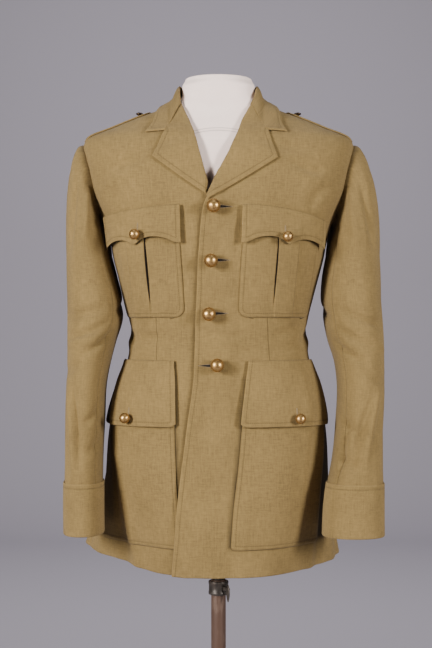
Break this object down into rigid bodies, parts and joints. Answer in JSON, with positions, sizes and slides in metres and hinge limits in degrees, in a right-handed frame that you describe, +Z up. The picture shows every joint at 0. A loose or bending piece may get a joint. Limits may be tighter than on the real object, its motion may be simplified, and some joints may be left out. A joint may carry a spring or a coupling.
{
  "type": "wool jacket on a dress form",
  "caption": "Single-breasted wool service jacket with notched lapels, shoulder straps and four flapped patch pockets, worn by a limbless dress form on an adjustable stand.",
  "frame": {"origin": "centre of the round base's underside, on the floor", "axes": "+Z up along the pole; the jacket's front faces -Y; +X is the wearer's left"},
  "size_m": [0.5324, 0.35, 1.562],
  "materials": {
    "wool": "khaki fine wool twill, matt",
    "calico": "off-white cloth cover",
    "brass": "worn satin",
    "dark_brass": "darkened",
    "brown_paint": "worn brown",
    "dark_steel": "dark, worn",
    "black_paint": "satin black"
  },
  "bodies": {
    "stand": {"base": "black_paint", "pole": "brown_paint", "clamp": "dark_steel"},
    "screw": {"thumb_screw": "dark_steel"},
    "rod": {"rod": "dark_steel"},
    "figure": {"form_plate": "dark_steel", "form": "calico", "back_left": "wool", "back_right": "wool", "chest_button_left": "brass", "chest_button_right": "brass", "chest_flap_left": "wool", "chest_flap_right": "wool", "chest_pocket_left": "wool", "chest_pocket_right": "wool", "collar": "wool", "cuff_left": "wool", "cuff_right": "wool", "front_button_1": "brass", "front_button_2": "brass", "front_button_3": "brass", "front_button_4": "brass", "front_left": "wool", "front_right": "wool", "lapel_left": "wool", "lapel_right": "wool", "lower_button_left": "brass", "lower_button_right": "brass", "lower_flap_left": "wool", "lower_flap_right": "wool", "lower_pocket_left": "wool", "lower_pocket_right": "wool", "strap_button_left": "dark_brass", "strap_button_right": "dark_brass", "strap_left": "wool", "strap_right": "wool", "topsleeve_left": "wool", "topsleeve_right": "wool", "undersleeve_left": "wool", "undersleeve_right": "wool"}
  },
  "joints": [
    {"name": "height_slide", "type": "slide", "parent": "stand", "child": "rod", "axis": [0, 0, 1], "range_m": [-0.04, 0.15]},
    {"name": "figure_swivel", "type": "hinge", "parent": "rod", "child": "figure", "pos_m": [0, 0, 0.776], "axis": [0, 0, 1], "continuous": true},
    {"name": "screw_turn", "type": "hinge", "parent": "stand", "child": "screw", "pos_m": [0, 0, 0.7005], "axis": [0.6157, -0.788, 0], "continuous": true}
  ]
}
